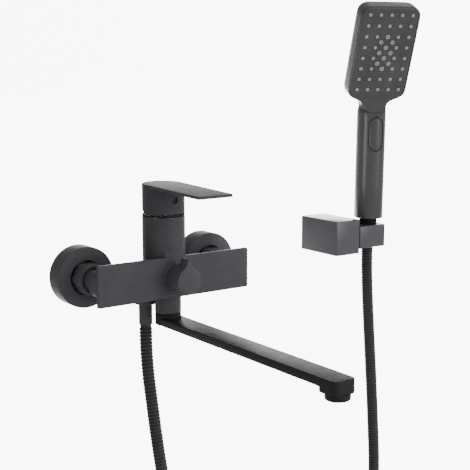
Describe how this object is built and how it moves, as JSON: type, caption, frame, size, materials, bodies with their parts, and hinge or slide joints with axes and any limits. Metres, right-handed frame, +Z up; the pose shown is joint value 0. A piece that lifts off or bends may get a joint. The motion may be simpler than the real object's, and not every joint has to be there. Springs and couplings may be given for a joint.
{
  "type": "wall mounted bath mixer with hand shower",
  "caption": "Matte black wall mounted bath mixer with swivel spout, lever, diverter, hose, flat-faced hand shower and tilting wall bracket.",
  "frame": {"origin": "on the wall face, midway between the two water inlets", "axes": "+X along the wall to the right, +Y into the wall, +Z up"},
  "size_m": [0.4214, 0.344, 0.756],
  "materials": {
    "body": "matte",
    "trim": "matte",
    "bracket": "matte",
    "handset": "satin",
    "face": "matte",
    "nozzle": "matte",
    "hose": "satin",
    "brass": "satin",
    "steel": "satin",
    "rubber": "matte",
    "plastic": "satin",
    "ceramic": "polished"
  },
  "bodies": {
    "root": {"bonnet_ring": "body", "bracket_cover": "bracket", "bracket_set_screw": "steel", "bracket_wall_plate": "steel", "cartridge_base_seal": "rubber", "cartridge_housing": "plastic", "cartridge_lock_nut": "body", "check_valve": "plastic", "diverter_housing": "trim", "filter_screen_left": "steel", "filter_screen_right": "steel", "fixed_disc": "ceramic", "friction_washer": "plastic", "hose": "hose", "hose_ferrule": "trim", "hose_nut": "trim", "hose_outlet_nipple": "brass", "hose_seal": "rubber", "inlet_tail_left": "body", "inlet_tail_right": "body", "inlet_union_left": "body", "inlet_union_right": "body", "mixer_body": "body", "pivot_bolt": "steel", "spout_retaining_screw": "steel", "spout_slip_washer": "rubber", "union_nut_left": "body", "union_nut_right": "body", "wall_cover_left": "body", "wall_cover_right": "body"},
    "rotor": {"cartridge_rotor": "plastic", "lever_pivot_pin": "steel"},
    "lever": {"lever_handle": "trim", "lever_stem": "steel", "lever_screw": "steel", "lever_plug": "trim"},
    "disc": {"moving_disc": "ceramic"},
    "diverter": {"diverter_knob": "trim", "diverter_spindle": "brass", "diverter_core": "brass", "knob_screw": "steel"},
    "spout": {"spout_arm": "trim", "spout_stem": "brass", "spout_seals": "rubber", "aerator_housing": "trim", "aerator_insert": "plastic"},
    "holder": {"holder_block": "bracket", "holder_bush": "plastic", "hose_top": "hose"},
    "cone": {"cone_nut": "bracket", "cone_seal": "rubber"},
    "handset": {"handset_shell": "handset", "face_plate": "face", "nozzle_mat": "nozzle", "spray_plate": "plastic", "handset_inlet": "bracket", "hose_insert": "brass", "water_tube": "plastic"},
    "button": {"mode_button": "handset"}
  },
  "joints": [
    {"name": "lever_turn", "type": "hinge", "parent": "root", "child": "rotor", "pos_m": [0, -0.048, 0.04], "axis": [0, 0, 1], "range_deg": [-45, 45]},
    {"name": "lever_lift", "type": "hinge", "parent": "rotor", "child": "lever", "pos_m": [0, -0.048, 0.052], "axis": [-1, 0, 0], "range_deg": [0, 20]},
    {"name": "disc_slide", "type": "slide", "parent": "rotor", "child": "disc", "axis": [0, -1, 0], "range_m": [0, 0.0025]},
    {"name": "diverter_turn", "type": "hinge", "parent": "root", "child": "diverter", "pos_m": [0, -0.085, -0.001], "axis": [0, 1, 0], "range_deg": [0, 90]},
    {"name": "spout_swivel", "type": "hinge", "parent": "root", "child": "spout", "pos_m": [0, -0.055, -0.04], "axis": [0, 0, 1], "range_deg": [-80, 80]},
    {"name": "holder_tilt", "type": "hinge", "parent": "root", "child": "holder", "pos_m": [0.2816, -0.0485, 0.0125], "axis": [1, 0, 0], "range_deg": [-8, 30], "deforming": ["hose_top"]},
    {"name": "handset_lift", "type": "slide", "parent": "holder", "child": "cone", "axis": [0, -0.0175, 0.9998], "range_m": [0, 0.02]},
    {"name": "handset_turn", "type": "hinge", "parent": "cone", "child": "handset", "pos_m": [0.2816, -0.0485, 0.0125], "axis": [0, -0.0175, 0.9998], "range_deg": [-80, 100]},
    {"name": "button_press", "type": "slide", "parent": "handset", "child": "button", "axis": [0.342, 0.9395, 0.0164], "range_m": [0, 0.0025], "stiffness_N_per_m": 900, "springref_m": -0.001}
  ],
  "couplings": [
    {"joint": "disc_slide", "follows": "lever_lift", "m_per_rad": 0.0071548}
  ]
}
